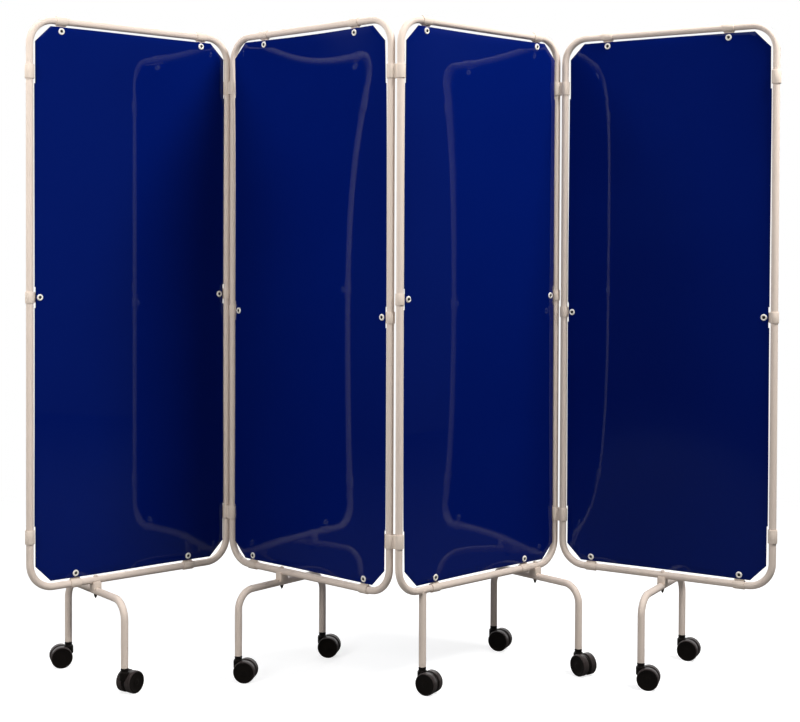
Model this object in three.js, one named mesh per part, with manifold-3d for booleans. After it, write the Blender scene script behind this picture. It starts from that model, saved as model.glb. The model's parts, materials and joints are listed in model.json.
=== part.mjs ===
// Four-leaf ward privacy screen on casters. Millimetres, +Z up, front side towards -Y.
// Each panel is a bent tube frame that holds one sheet by six clips. Figure-eight links join
// the panels, and the legs under the bottom rails stand on nine twin-wheel casters.
import * as THREE from 'three';
import { mergeVertices } from 'three/addons/utils/BufferGeometryUtils.js';
import Module from 'manifold-3d';

const wasm = await Module();
wasm.setup();

// Frame: a closed loop of round tube, stiles upright and rails level
const tubeDiameter = 18;
const stileSpacing = 563;
const frameHeight = 1408.5;
const frameLift = 243.6;
const frameBendRadius = 62;

// Clearances: pieces at rest on each other, pieces that turn, and how far a cut runs past a face
const seatGap = 0.3;
const turningGap = 0.3;
const cutOverrun = 4;

// Sheet, with its corners chamfered and its edge set back at the links and the side clips
const sheetThickness = 2.5;
const sheetForward = 1.75;
const sheetRailGap = 5.5;
const sheetStileGap = 2.9;
const sheetCornerChamfer = 40;
const recessDepth = 2.5;
const topRecessEnd = 166;
const bottomRecessEnd = 162;
const sideClipRecess = 51;

// Clips: a sleeve on the tube with a tapered ear that runs behind the sheet
const sleeveDiameter = 22;
const sleeveLength = 28;
const earReach = 33;
const earThickness = 3;
const earTipWidth = 14;
const earEndWidth = 7;
const screwReach = 25.1;
const nearInset = 82.5;
const farInset = 120.2;
const highSideClip = 722.3;
const lowSideClip = 678.5;

// Cup washers with the screw head sunk in the middle
const washerDiameter = 16.5;
const washerHeight = 2.4;
const washerTaper = 1.8;
const washerMouthDiameter = 7.5;
const washerSinkDepth = 1.6;
const washerRootDepth = 1;

// Hinge links and end collars on the stiles
const linkPitch = 24;
const linkDiameter = 23;
const linkLength = 34;
const linkWaist = 13;
const linkFromFrameEnd = 138;

// Legs: a crossbar across the panel, held under the bottom rail by a saddle and one bolt.
// Each leg has its own place along its rail, from the left stile.
const legHalfSpan = 150.3;
const legBendRadius = 46;
const legEndHeight = 64.2;
const saddleOpening = 9.5;
const saddleAlongRail = 21;
const saddleAcross = 24;
const saddleLip = 3;
const saddleChamfer = 3;
const straightLegPlace = 79.4;
const firstLegPlace = 176.3;
const secondLegPlace = 189.5;
const thirdLegPlace = 487.7;
const fourthLegPlace = 280;
const boltDiameter = 6;
const boltHeadDiameter = 12;
const boltHeadHeight = 3.4;
const boltHeadRim = 1.2;
const boltCapDiameter = 8;
const boltCapHeight = 10;
const boltCapRim = 2;

// Casters: stem, neck, shoulder, and a hood between two wheels that trail behind the stem
const wheelDiameter = 55;
const wheelWidth = 17;
const wheelSpacing = 27;
const wheelTrail = 19;
const treadRound = 3;
const wheelDiscDiameter = 42;
const wheelDiscSink = 0.8;
const axleDiameter = 6;
const axleDepthInWheel = 11;
const wheelSpaceGap = 1.2;
const hoodInset = 2.4;
const hoodFloorClearance = 11;
const shoulderDiameter = 24.6;
const shoulderHeight = 24;
const shoulderTaper = 2.6;
const neckHeight = 7.5;
const stemDiameter = 8;
const stemLength = 30;
const stemEndGap = 2;

// Directions in plan, in degrees from +X: each panel, each link, and each caster's trail
const linkHeadings = [-38, -18.4, -28];
const panels = [
  {
    heading: 39.4,
    legPlace: firstLegPlace,
    topInset: nearInset,
    bottomInset: farInset,
    sideClip: highSideClip,
    trails: { front: 57, back: 200.3 },
  },
  {
    heading: -41.4,
    legPlace: secondLegPlace,
    topInset: farInset,
    bottomInset: nearInset,
    sideClip: lowSideClip,
    trails: { front: -9, back: -10 },
  },
  {
    heading: 42.4,
    legPlace: thirdLegPlace,
    topInset: nearInset,
    bottomInset: farInset,
    sideClip: highSideClip,
    trails: { front: -54, back: -24, straight: -31 },
  },
  {
    heading: -30.55,
    legPlace: fourthLegPlace,
    topInset: farInset,
    bottomInset: nearInset,
    sideClip: lowSideClip,
    trails: { front: -17, back: -26 },
  },
];

// How finely round forms are faceted
const tubeSides = 10;
const bendSteps = 4;
const sleeveArcSides = 12;
const washerSides = 8;
const boltSides = 8;
const wheelSides = 14;
const housingSides = 10;
const rodSides = 6;
const weldDistance = 0.001;

// Places worked out from the sizes above
const tubeRadius = tubeDiameter / 2;
const bottomRail = frameLift + tubeRadius;
const frameTop = frameLift + frameHeight;
const topRail = frameTop - tubeRadius;
const crossbar = frameLift - saddleOpening - tubeRadius;
const axleHeight = wheelDiameter / 2;
const hoodHalf = (wheelSpacing - wheelWidth) / 2 - turningGap;

const quarterTurn = Math.PI / 2;
const halfTurn = Math.PI;
const fullTurn = halfTurn * 2;

// Materials
const creamPaint = new THREE.MeshStandardMaterial({ color: '#e6dacd', roughness: 0.38, metalness: 0.05 });
const creamPlastic = new THREE.MeshStandardMaterial({ color: '#e4d9cd', roughness: 0.5, metalness: 0 });
const blueSheet = new THREE.MeshStandardMaterial({ color: '#0b1a78', roughness: 0.12, metalness: 0 });
const blackPlastic = new THREE.MeshStandardMaterial({ color: '#17120f', roughness: 0.45, metalness: 0 });
const darkSteel = new THREE.MeshStandardMaterial({ color: '#2a221d', roughness: 0.4, metalness: 0.6 });

function solidOf(geometry) {
  const bare = geometry.clone();
  bare.deleteAttribute('normal');
  bare.deleteAttribute('uv');
  const welded = mergeVertices(bare, weldDistance);
  return new wasm.Manifold(new wasm.Mesh({
    numProp: 3,
    vertProperties: new Float32Array(welded.attributes.position.array),
    triVerts: new Uint32Array(welded.index.array),
  }));
}

function geometryOf(solid) {
  const mesh = solid.getMesh();
  const geometry = new THREE.BufferGeometry();
  geometry.setAttribute('position', new THREE.BufferAttribute(mesh.vertProperties, mesh.numProp));
  geometry.setIndex(new THREE.BufferAttribute(mesh.triVerts, 1));
  return geometry;
}

// The radius at which a faceted hole still clears the given round radius
function clearRadius(radius, sides) {
  return radius / Math.cos(halfTurn / sides);
}

// A turned solid about +Z, from [radius, height] points that start and end on the axis
function turned(profile, sides) {
  const points = profile.map(([radius, height]) => new THREE.Vector2(radius, height));
  return new THREE.LatheGeometry(points, sides, halfTurn / sides).rotateX(quarterTurn);
}

// A round bar about +Z between two heights
function bar(radius, low, high, sides) {
  return turned([[0, low], [radius, low], [radius, high], [0, high]], sides);
}

// A flat plate from an outline in X and Z, its front face on Y = front
function plate(shape, front, thickness, steps) {
  const geometry = new THREE.ExtrudeGeometry(shape, {
    depth: thickness,
    bevelEnabled: false,
    curveSegments: steps,
  });
  return geometry.rotateX(quarterTurn).translate(0, front + thickness, 0);
}

// Stations along straight runs and bends in the XZ plane: a centre and a heading at each ring
function bentPath(corners, bendRadius, closed) {
  const stations = [];
  const last = corners.length - 1;
  corners.forEach((corner, index) => {
    const before = corners[index === 0 ? last : index - 1];
    const after = corners[index === last ? 0 : index + 1];
    const wayIn = corner.clone().sub(before).normalize();
    const wayOut = after.clone().sub(corner).normalize();
    if (!closed && index === 0) {
      stations.push({ centre: corner, heading: wayOut.angle() });
      return;
    }
    if (!closed && index === last) {
      stations.push({ centre: corner, heading: wayIn.angle() });
      return;
    }
    const turn = Math.atan2(wayIn.cross(wayOut), wayIn.dot(wayOut));
    const setback = bendRadius * Math.tan(Math.abs(turn) / 2);
    const start = corner.clone().addScaledVector(wayIn, -setback);
    const inward = wayIn.clone().rotateAround(new THREE.Vector2(), Math.sign(turn) * quarterTurn);
    const pivot = start.clone().addScaledVector(inward, bendRadius);
    for (let step = 0; step <= bendSteps; step += 1) {
      const swing = (turn * step) / bendSteps;
      stations.push({
        centre: start.clone().rotateAround(pivot, swing),
        heading: wayIn.angle() + swing,
      });
    }
  });
  return stations;
}

// A round tube swept through the stations, either closed on itself or capped at both ends
function sweptTube(stations, radius, closed) {
  const positions = [];
  const faces = [];
  stations.forEach(({ centre, heading }) => {
    for (let side = 0; side < tubeSides; side += 1) {
      const angle = (fullTurn * (side + 0.5)) / tubeSides;
      const across = radius * Math.cos(angle);
      positions.push(
        centre.x - across * Math.sin(heading),
        -radius * Math.sin(angle),
        centre.y + across * Math.cos(heading),
      );
    }
  });
  const spans = closed ? stations.length : stations.length - 1;
  for (let span = 0; span < spans; span += 1) {
    const here = span * tubeSides;
    const there = ((span + 1) % stations.length) * tubeSides;
    for (let side = 0; side < tubeSides; side += 1) {
      const next = (side + 1) % tubeSides;
      faces.push(here + side, here + next, there + next);
      faces.push(here + side, there + next, there + side);
    }
  }
  const endRing = (stations.length - 1) * tubeSides;
  for (let side = 1; !closed && side < tubeSides - 1; side += 1) {
    faces.push(0, side + 1, side);
    faces.push(endRing, endRing + side, endRing + side + 1);
  }
  const geometry = new THREE.BufferGeometry();
  geometry.setAttribute('position', new THREE.Float32BufferAttribute(positions, 3));
  geometry.setIndex(faces);
  return geometry;
}

function addMesh(group, name, geometry, material) {
  const mesh = new THREE.Mesh(geometry, material);
  mesh.name = name;
  group.add(mesh);
  return mesh;
}

// Clip places on a frame: where the tube is, and which way the ear points
function clipPlaces({ topInset, bottomInset, sideClip }) {
  const right = stileSpacing;
  return [
    { x: bottomInset, z: bottomRail, turn: 0 },
    { x: right - bottomInset, z: bottomRail, turn: 0 },
    { x: topInset, z: topRail, turn: halfTurn },
    { x: right - topInset, z: topRail, turn: halfTurn },
    { x: 0, z: frameLift + sideClip, turn: quarterTurn },
    { x: right, z: frameLift + sideClip, turn: -quarterTurn },
  ];
}

// Clip: a moulded sleeve along X with its ear pointing up, fused to the tube that it grips
function clipSolid({ x, z, turn }) {
  const half = sleeveLength / 2;
  const tip = earTipWidth / 2;
  const end = earEndWidth / 2;
  const ear = new THREE.Shape([
    new THREE.Vector2(-half, 0),
    new THREE.Vector2(half, 0),
    new THREE.Vector2(half, sleeveDiameter / 2 + seatGap),
    new THREE.Vector2(tip, screwReach),
    new THREE.Vector2(end, earReach),
    new THREE.Vector2(-end, earReach),
    new THREE.Vector2(-tip, screwReach),
    new THREE.Vector2(-half, sleeveDiameter / 2 + seatGap),
  ]);
  const ends = [
    { centre: new THREE.Vector2(-half, 0), heading: 0 },
    { centre: new THREE.Vector2(half, 0), heading: 0 },
  ];
  const earFront = seatGap + sheetThickness / 2 - sheetForward;
  const sleeve = sweptTube(ends, sleeveDiameter / 2, false).rotateY(turn).translate(x, 0, z);
  const earPlate = plate(ear, earFront, earThickness, 1).rotateY(turn).translate(x, 0, z);
  return solidOf(sleeve).add(solidOf(earPlate));
}

// Frame: the bent tube loop with its six clips, drilled for the leg bolt
function frameGeometry(panel) {
  const corners = [
    new THREE.Vector2(0, bottomRail),
    new THREE.Vector2(stileSpacing, bottomRail),
    new THREE.Vector2(stileSpacing, topRail),
    new THREE.Vector2(0, topRail),
  ];
  const loop = sweptTube(bentPath(corners, frameBendRadius, true), tubeRadius, true);
  const clipped = clipPlaces(panel).reduce((frame, place) => frame.add(clipSolid(place)), solidOf(loop));
  return geometryOf(clipped.subtract(boltHole(panel.legPlace, bottomRail)));
}

// Hole for the leg bolt through a level tube at the given height
function boltHole(place, height) {
  const radius = clearRadius(boltDiameter / 2 + turningGap, rodSides);
  const reach = tubeRadius + cutOverrun;
  return solidOf(bar(radius, height - reach, height + reach, rodSides).translate(place, 0, 0));
}

// Sheet: one flat plate, with its six cup washers fused to the front
function sheetGeometry(panel) {
  const edge = tubeRadius + sheetStileGap;
  const recess = edge + recessDepth;
  const low = frameLift + tubeDiameter + sheetRailGap;
  const high = frameTop - tubeDiameter - sheetRailGap;
  const clipLow = frameLift + panel.sideClip - sideClipRecess / 2;
  const clipHigh = clipLow + sideClipRecess;
  const leftEdge = [
    [recess + sheetCornerChamfer, low],
    [recess, low + sheetCornerChamfer],
    [recess, frameLift + bottomRecessEnd],
    [edge, frameLift + bottomRecessEnd],
    [edge, clipLow],
    [recess, clipLow],
    [recess, clipHigh],
    [edge, clipHigh],
    [edge, frameTop - topRecessEnd],
    [recess, frameTop - topRecessEnd],
    [recess, high - sheetCornerChamfer],
    [recess + sheetCornerChamfer, high],
  ];
  const rightEdge = leftEdge.map(([x, z]) => [stileSpacing - x, z]).reverse();
  const outline = [...leftEdge, ...rightEdge].map(([x, z]) => new THREE.Vector2(x, z));
  const front = -sheetForward - sheetThickness / 2;
  let sheet = solidOf(plate(new THREE.Shape(outline), front, sheetThickness, 1));
  clipPlaces(panel).forEach(({ x, z, turn }) => {
    const washer = washerGeometry();
    washer.translate(x + screwReach * Math.sin(turn), front, z + screwReach * Math.cos(turn));
    sheet = sheet.add(solidOf(washer));
  });
  return geometryOf(sheet);
}

// Cup washer facing -Y, with its root sunk into the sheet and the screw head down in its mouth
function washerGeometry() {
  const radius = washerDiameter / 2;
  const mouth = washerMouthDiameter / 2;
  const profile = [
    [0, -washerRootDepth],
    [radius, -washerRootDepth],
    [radius, 0],
    [radius - washerTaper, washerHeight],
    [mouth, washerHeight],
    [mouth, washerHeight - washerSinkDepth],
    [0, washerHeight - washerSinkDepth],
  ];
  return turned(profile, washerSides).rotateX(quarterTurn);
}

// Hinge link: a figure-eight sleeve with a bore for each of the two stiles
function linkGeometry() {
  const radius = linkDiameter / 2;
  const waistAngle = Math.asin(linkWaist / linkDiameter);
  const outline = new THREE.Shape();
  outline.absarc(0, 0, radius, waistAngle, fullTurn - waistAngle, false);
  outline.absarc(linkPitch, 0, radius, halfTurn + waistAngle, fullTurn + halfTurn - waistAngle, false);
  outline.closePath();
  outline.holes.push(stileBore(0), stileBore(linkPitch));
  return uprightSleeve(outline);
}

// End collar: the same sleeve with a single bore, on an outer stile
function collarGeometry() {
  const outline = new THREE.Shape();
  outline.absarc(0, 0, linkDiameter / 2, 0, fullTurn, false);
  outline.holes.push(stileBore(0));
  return uprightSleeve(outline);
}

function stileBore(x) {
  const bore = new THREE.Path();
  bore.absarc(x, 0, clearRadius(tubeRadius + turningGap, sleeveArcSides), 0, fullTurn, true);
  return bore;
}

function uprightSleeve(outline) {
  const geometry = new THREE.ExtrudeGeometry(outline, {
    depth: linkLength,
    bevelEnabled: false,
    curveSegments: sleeveArcSides / 2,
  });
  return geometry.translate(0, 0, -linkLength / 2);
}

// Socket bored up into a leg end for a caster stem
function stemSocket(x) {
  const radius = clearRadius(stemDiameter / 2 + turningGap, rodSides);
  const top = legEndHeight + stemLength + stemEndGap;
  return solidOf(bar(radius, legEndHeight - cutOverrun, top, rodSides).translate(x, 0, 0));
}

// U leg across the panel: crossbar, two bends, two stems, sockets for both casters
function legGeometry() {
  const corners = [
    new THREE.Vector2(-legHalfSpan, legEndHeight),
    new THREE.Vector2(-legHalfSpan, crossbar),
    new THREE.Vector2(legHalfSpan, crossbar),
    new THREE.Vector2(legHalfSpan, legEndHeight),
  ];
  const tube = solidOf(sweptTube(bentPath(corners, legBendRadius, false), tubeRadius, false));
  const drilled = tube.subtract(boltHole(0, crossbar));
  const bored = drilled.subtract(stemSocket(-legHalfSpan)).subtract(stemSocket(legHalfSpan));
  return geometryOf(bored).rotateZ(quarterTurn);
}

// Straight leg: its top end coped to the round of the bottom rail, where it is welded on
function straightLegGeometry() {
  const ends = [
    { centre: new THREE.Vector2(0, legEndHeight), heading: quarterTurn },
    { centre: new THREE.Vector2(0, bottomRail), heading: quarterTurn },
  ];
  const tube = solidOf(sweptTube(ends, tubeRadius, false));
  return geometryOf(tube.subtract(railSpace()).subtract(stemSocket(0)));
}

// The room that the bottom rail takes out of a piece seated under it
function railSpace() {
  const reach = saddleAlongRail + cutOverrun;
  const ends = [
    { centre: new THREE.Vector2(-reach, bottomRail), heading: 0 },
    { centre: new THREE.Vector2(reach, bottomRail), heading: 0 },
  ];
  return solidOf(sweptTube(ends, tubeRadius + seatGap, false));
}

// The room that the crossbar takes out of a piece seated on it
function crossbarSpace() {
  const reach = saddleAcross + cutOverrun;
  const ends = [
    { centre: new THREE.Vector2(-reach, crossbar), heading: 0 },
    { centre: new THREE.Vector2(reach, crossbar), heading: 0 },
  ];
  return solidOf(sweptTube(ends, tubeRadius + seatGap, false).rotateZ(quarterTurn));
}

// Saddle: a moulded block hollowed above for the rail and below for the crossbar
function saddleGeometry() {
  const top = bottomRail - saddleLip;
  const base = crossbar + saddleLip;
  const half = saddleAlongRail / 2;
  const side = new THREE.Shape([
    new THREE.Vector2(-half, base),
    new THREE.Vector2(half, base),
    new THREE.Vector2(half, top - saddleChamfer),
    new THREE.Vector2(half - saddleChamfer, top),
    new THREE.Vector2(saddleChamfer - half, top),
    new THREE.Vector2(-half, top - saddleChamfer),
  ]);
  const block = solidOf(plate(side, -saddleAcross / 2, saddleAcross, 1));
  const seated = block.subtract(railSpace()).subtract(crossbarSpace());
  return geometryOf(seated.subtract(boltHole(0, (bottomRail + crossbar) / 2)));
}

// Leg bolt: domed head on the rail, shank, and a pointed cap on the end below the crossbar
function boltGeometry() {
  const shank = boltDiameter / 2;
  const head = boltHeadDiameter / 2;
  const cap = boltCapDiameter / 2;
  const headSeat = bottomRail + tubeRadius + seatGap;
  const capSeat = crossbar - tubeRadius - seatGap;
  const profile = [
    [0, capSeat - boltCapHeight],
    [cap, capSeat - boltCapRim],
    [cap, capSeat],
    [shank, capSeat],
    [shank, headSeat],
    [head, headSeat],
    [head, headSeat + boltHeadRim],
    [0, headSeat + boltHeadHeight],
  ];
  return turned(profile, boltSides);
}

// Caster housing: stem, neck and shoulder about the swivel axis, and between the wheels a hood
// that carries the axle. The shoulder is cut away where the wheels turn.
function housingGeometry() {
  const neck = tubeRadius;
  const shoulder = shoulderDiameter / 2;
  const neckTop = legEndHeight - turningGap;
  const neckFoot = legEndHeight - neckHeight;
  const stem = stemDiameter / 2;
  const profile = [
    [0, neckFoot - shoulderHeight],
    [shoulder, neckFoot - shoulderHeight],
    [shoulder, neckFoot - shoulderTaper],
    [neck, neckFoot],
    [neck, neckTop],
    [stem, neckTop],
    [stem, legEndHeight + stemLength],
    [0, legEndHeight + stemLength],
  ];
  const wheelSpace = clearRadius(wheelDiameter / 2, wheelSides) + wheelSpaceGap;
  const wheelOuter = (wheelSpacing + wheelWidth) / 2;
  const onAxle = (geometry) => solidOf(geometry.rotateX(quarterTurn).translate(wheelTrail, 0, axleHeight));
  const leftSpace = onAxle(bar(wheelSpace, hoodHalf, wheelOuter, wheelSides));
  const rightSpace = onAxle(bar(wheelSpace, -wheelOuter, -hoodHalf, wheelSides));
  const hood = onAxle(bar(wheelDiameter / 2 - hoodInset, -hoodHalf, hoodHalf, wheelSides));
  const axleReach = (wheelSpacing - wheelWidth) / 2 + axleDepthInWheel;
  const axle = onAxle(bar(axleDiameter / 2, -axleReach, axleReach, rodSides));
  const upright = solidOf(turned(profile, housingSides)).subtract(leftSpace).subtract(rightSpace);
  return geometryOf(upright.add(hood.trimByPlane([0, 0, 1], hoodFloorClearance)).add(axle));
}

// Wheel about the Y axis, its outer side towards +Y: round tread, sunk disc, blind axle bore
function wheelGeometry() {
  const inner = -wheelWidth / 2;
  const outer = wheelWidth / 2;
  const tread = wheelDiameter / 2;
  const disc = wheelDiscDiameter / 2;
  const bore = clearRadius(axleDiameter / 2 + turningGap, wheelSides);
  const boreEnd = inner + axleDepthInWheel + turningGap;
  const profile = [
    [0, boreEnd],
    [bore, boreEnd],
    [bore, inner],
    [tread, inner],
    [tread, outer - treadRound],
    [tread - treadRound, outer],
    [disc, outer],
    [disc - wheelDiscSink, outer - wheelDiscSink],
    [0, outer - wheelDiscSink],
  ];
  const widened = profile.map(([radius, place]) => [clearRadius(radius, wheelSides), place]);
  return turned(widened, wheelSides).rotateX(-quarterTurn);
}

// Caster on its swivel axis: the housing and two like wheels, trailing along +X
function addCaster(panelGroup, name, x, y, turn) {
  const caster = new THREE.Group();
  caster.position.set(x, y, 0);
  caster.rotation.z = turn;
  panelGroup.add(caster);
  addMesh(caster, `${name}_housing`, housingGeometry(), blackPlastic.clone());
  [['left', 0], ['right', halfTurn]].forEach(([side, spin]) => {
    const wheel = addMesh(caster, `${name}_wheel_${side}`, wheelGeometry(), blackPlastic.clone());
    wheel.position.set(wheelTrail, (wheelSpacing / 2) * Math.cos(spin), axleHeight);
    wheel.rotation.z = spin;
  });
}

// Panel: everything that moves with one frame, from its left stile along +X
function addPanel(screen, panel, number, origin) {
  const name = `panel_${number}`;
  const heading = THREE.MathUtils.degToRad(panel.heading);
  const group = new THREE.Group();
  group.position.set(origin.x, origin.y, 0);
  group.rotation.z = heading;
  screen.add(group);
  addMesh(group, `${name}_frame`, frameGeometry(panel), creamPaint.clone());
  addMesh(group, `${name}_sheet`, sheetGeometry(panel), blueSheet.clone());
  const legPieces = [
    addMesh(group, `${name}_leg`, legGeometry(), creamPaint.clone()),
    addMesh(group, `${name}_leg_saddle`, saddleGeometry(), creamPlastic.clone()),
    addMesh(group, `${name}_leg_bolt`, boltGeometry(), darkSteel.clone()),
  ];
  legPieces.forEach((piece) => piece.position.setX(panel.legPlace));
  const stems = {
    front: [panel.legPlace, -legHalfSpan],
    back: [panel.legPlace, legHalfSpan],
    straight: [straightLegPlace, 0],
  };
  Object.entries(panel.trails).forEach(([end, trail]) => {
    const turn = THREE.MathUtils.degToRad(trail) - heading;
    addCaster(group, `caster_${number}_${end}`, ...stems[end], turn);
  });
  if ('straight' in panel.trails) {
    const leg = addMesh(group, `${name}_straight_leg`, straightLegGeometry(), creamPaint.clone());
    leg.position.setX(straightLegPlace);
  }
  return group;
}

// The same sleeve at both heights on a stile
function addSleeves(screen, name, geometry, origin, heading) {
  const heights = { top: frameTop - linkFromFrameEnd, bottom: frameLift + linkFromFrameEnd };
  Object.entries(heights).forEach(([level, height]) => {
    const sleeve = addMesh(screen, `${name}_${level}`, geometry, creamPlastic.clone());
    sleeve.position.set(origin.x, origin.y, height);
    sleeve.rotation.z = heading;
  });
}

// The screen: panels and links chained from left to right, then centred over the origin
const screen = new THREE.Group();
screen.name = 'ward_privacy_screen';
const along = (from, degrees, distance) => {
  const radians = THREE.MathUtils.degToRad(degrees);
  return new THREE.Vector2(Math.cos(radians), Math.sin(radians)).multiplyScalar(distance).add(from);
};
let stile = new THREE.Vector2();
addSleeves(screen, 'end_collar_left', collarGeometry(), stile, 0);
panels.forEach((panel, index) => {
  addPanel(screen, panel, index + 1, stile);
  stile = along(stile, panel.heading, stileSpacing);
  if (index < linkHeadings.length) {
    const heading = linkHeadings[index];
    const name = `hinge_link_${index + 1}${index + 2}`;
    addSleeves(screen, name, linkGeometry(), stile, THREE.MathUtils.degToRad(heading));
    stile = along(stile, heading, linkPitch);
  }
});
addSleeves(screen, 'end_collar_right', collarGeometry(), stile, 0);
screen.updateMatrixWorld(true);
const middle = new THREE.Box3().setFromObject(screen, true).getCenter(new THREE.Vector3());
screen.position.set(-middle.x, -middle.y, 0);
screen.updateMatrixWorld(true);

export default screen;
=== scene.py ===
"""Ward privacy screen of four hinged panels on casters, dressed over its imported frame.

Metres, upright along +Z, front towards -Y. A panel is made standing in the XZ plane with its left
stile on the Z axis, and is then put where its two hinges are.
"""

import json
import math

import bmesh
import bpy
from mathutils import Matrix, Vector


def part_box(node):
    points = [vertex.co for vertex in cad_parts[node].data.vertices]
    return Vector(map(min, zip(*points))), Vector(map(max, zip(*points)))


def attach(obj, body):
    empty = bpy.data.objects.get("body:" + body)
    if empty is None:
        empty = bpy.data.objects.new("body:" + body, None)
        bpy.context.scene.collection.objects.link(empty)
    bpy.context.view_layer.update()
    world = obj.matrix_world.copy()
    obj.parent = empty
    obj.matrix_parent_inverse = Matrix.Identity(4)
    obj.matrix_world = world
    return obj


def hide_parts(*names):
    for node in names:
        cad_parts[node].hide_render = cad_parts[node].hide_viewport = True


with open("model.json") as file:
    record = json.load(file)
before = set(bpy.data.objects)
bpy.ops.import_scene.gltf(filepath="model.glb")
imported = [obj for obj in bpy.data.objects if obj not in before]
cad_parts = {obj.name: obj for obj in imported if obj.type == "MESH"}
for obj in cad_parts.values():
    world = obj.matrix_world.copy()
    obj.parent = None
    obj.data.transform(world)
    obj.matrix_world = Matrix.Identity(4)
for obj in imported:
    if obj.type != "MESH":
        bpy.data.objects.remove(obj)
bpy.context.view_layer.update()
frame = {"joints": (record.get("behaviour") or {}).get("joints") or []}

# ---------------------------------------------------------------------------
# Camera. It stands level with the upper half of the screen, in front of its middle joint, and
# the lens is shifted down a little so that the stiles stay upright and the feet stay in view.
# ---------------------------------------------------------------------------
camera_dip = 1.061  # degrees
camera_roll = 0.23  # degrees
view_lens = bpy.data.cameras.new("front_camera")
view_lens.sensor_width = 36
view_lens.lens = 64.18
view_lens.shift_y = -0.1075
camera = bpy.data.objects.new("front_camera", view_lens)
camera.location = (-0.0114, -3.6501, 1.0884)
tilt = Matrix.Rotation(math.radians(90 - camera_dip), 4, "X")
camera.rotation_euler = (tilt @ Matrix.Rotation(math.radians(camera_roll), 4, "Z")).to_euler()
bpy.context.scene.collection.objects.link(camera)
bpy.context.scene.camera = camera

# ---------------------------------------------------------------------------
# Studio. A plain white room that is dim behind the camera, so that the glossy sheets keep their
# depth of colour. The light falls mostly from high on the right, with less from the left, from
# in front of the left side, and from wide lamps overhead in front and behind.
# ---------------------------------------------------------------------------
bpy.context.scene.view_settings.view_transform = "Standard"
white = (1, 1, 1, 1)
fill_light = 0.06
# What the glossy sheets mirror of the room's front half, from its left side to its right
glow_left, glow_right = 0.02, 0.045
lamp_target = Vector((0, 0, 0.95))


def add_node(tree, kind, values=None, **settings):
    """Adds a shader node. An input takes a plain value, or the socket that feeds it."""
    made = tree.nodes.new(kind)
    for name, setting in settings.items():
        setattr(made, name, setting)
    for socket, value in (values or {}).items():
        if isinstance(value, bpy.types.NodeSocket):
            tree.links.new(value, made.inputs[socket])
        else:
            made.inputs[socket].default_value = value
    return made


def remap(tree, value, given, wanted, **settings):
    """Maps a value from one range onto another, and gives the socket of the result."""
    return add_node(tree, "ShaderNodeMapRange", {
        "Value": value, "From Min": given[0], "From Max": given[1],
        "To Min": wanted[0], "To Max": wanted[1],
    }, **settings).outputs["Result"]


def blend(tree, factor, low, high, kind="FLOAT"):
    """Mixes two numbers, or two colours where kind is RGBA, and gives the result's socket."""
    return add_node(tree, "ShaderNodeMix", {
        "Factor": factor, "A": low, "B": high,
    }, data_type=kind).outputs["Result"]


def reckon(tree, operation, first, second):
    """Reckons with two numbers, and gives the socket of the result."""
    return add_node(
        tree, "ShaderNodeMath", {0: first, 1: second}, operation=operation,
    ).outputs["Value"]


def light_paths(tree):
    """The kinds of ray, and whether one comes straight from the camera or through glass."""
    ray = add_node(tree, "ShaderNodeLightPath").outputs
    return ray, reckon(tree, "MAXIMUM", ray["Is Camera Ray"], ray["Is Transmission Ray"])


room = bpy.data.worlds.new("studio_room")
room.use_nodes = True
bpy.context.scene.world = room
air = room.node_tree
air.nodes.clear()
ray, seen_straight = light_paths(air)
way = add_node(air, "ShaderNodeTexCoord").outputs["Generated"]
way_xyz = add_node(air, "ShaderNodeSeparateXYZ", {"Vector": way}).outputs
side_glow = remap(
    air, way_xyz["X"], (-0.2, 0.95), (glow_left, glow_right), interpolation_type="SMOOTHSTEP",
)
mirrored_room = remap(
    air, way_xyz["Y"], (-0.05, 0.45), (side_glow, 1.0), interpolation_type="SMOOTHSTEP",
)
seen_by_gloss = blend(air, ray["Is Glossy Ray"], fill_light, mirrored_room)
room_strength = blend(air, seen_straight, seen_by_gloss, 1.0)
room_shader = add_node(air, "ShaderNodeBackground", {
    "Color": white, "Strength": room_strength,
}).outputs["Background"]
add_node(air, "ShaderNodeOutputWorld", {"Surface": room_shader})

for lamp_name, lamp_place, lamp_size, lamp_power, mirrored in (
    ("overhead_front", (0.1, -2.0, 3.2), (3.0, 1.4), 8, True),
    ("overhead_back", (0.0, 2.3, 2.9), (3.0, 1.4), 37, True),
    ("left_front", (-1.8, -2.1, 1.8), (0.9, 1.4), 39, False),
    ("left_high", (-2.2, -0.4, 3.3), (1.0, 1.0), 44, False),
    ("right_high", (2.05, -1.05, 3.4), (1.0, 1.0), 135, False),
):
    lamp = bpy.data.lights.new(lamp_name, "AREA")
    lamp.shape = "RECTANGLE"
    lamp.size, lamp.size_y = lamp_size
    lamp.energy = lamp_power
    stand = bpy.data.objects.new(lamp_name, lamp)
    stand.location = lamp_place
    stand.rotation_euler = (lamp_target - stand.location).to_track_quat("-Z", "Y").to_euler()
    stand.visible_glossy = mirrored
    bpy.context.scene.collection.objects.link(stand)

# ---------------------------------------------------------------------------
# Floor. Pale and plain under the casters, where it takes their soft shadows, and melting into
# the white of the room further out.
# ---------------------------------------------------------------------------
floor_radius = 5.0
melt_start, melt_end = 1.1, 3.0
tone_seen, tone_in_bounces, tone_in_gloss = 0.5, 0.25, 0.08
floor_lift = 0.74


def start_material(name):
    """Starts a material, and gives it with its empty node tree and the place on the object."""
    material = bpy.data.materials.new(name)
    material.use_nodes = True
    tree = material.node_tree
    tree.nodes.clear()
    return material, tree, add_node(tree, "ShaderNodeTexCoord").outputs["Object"]


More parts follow.
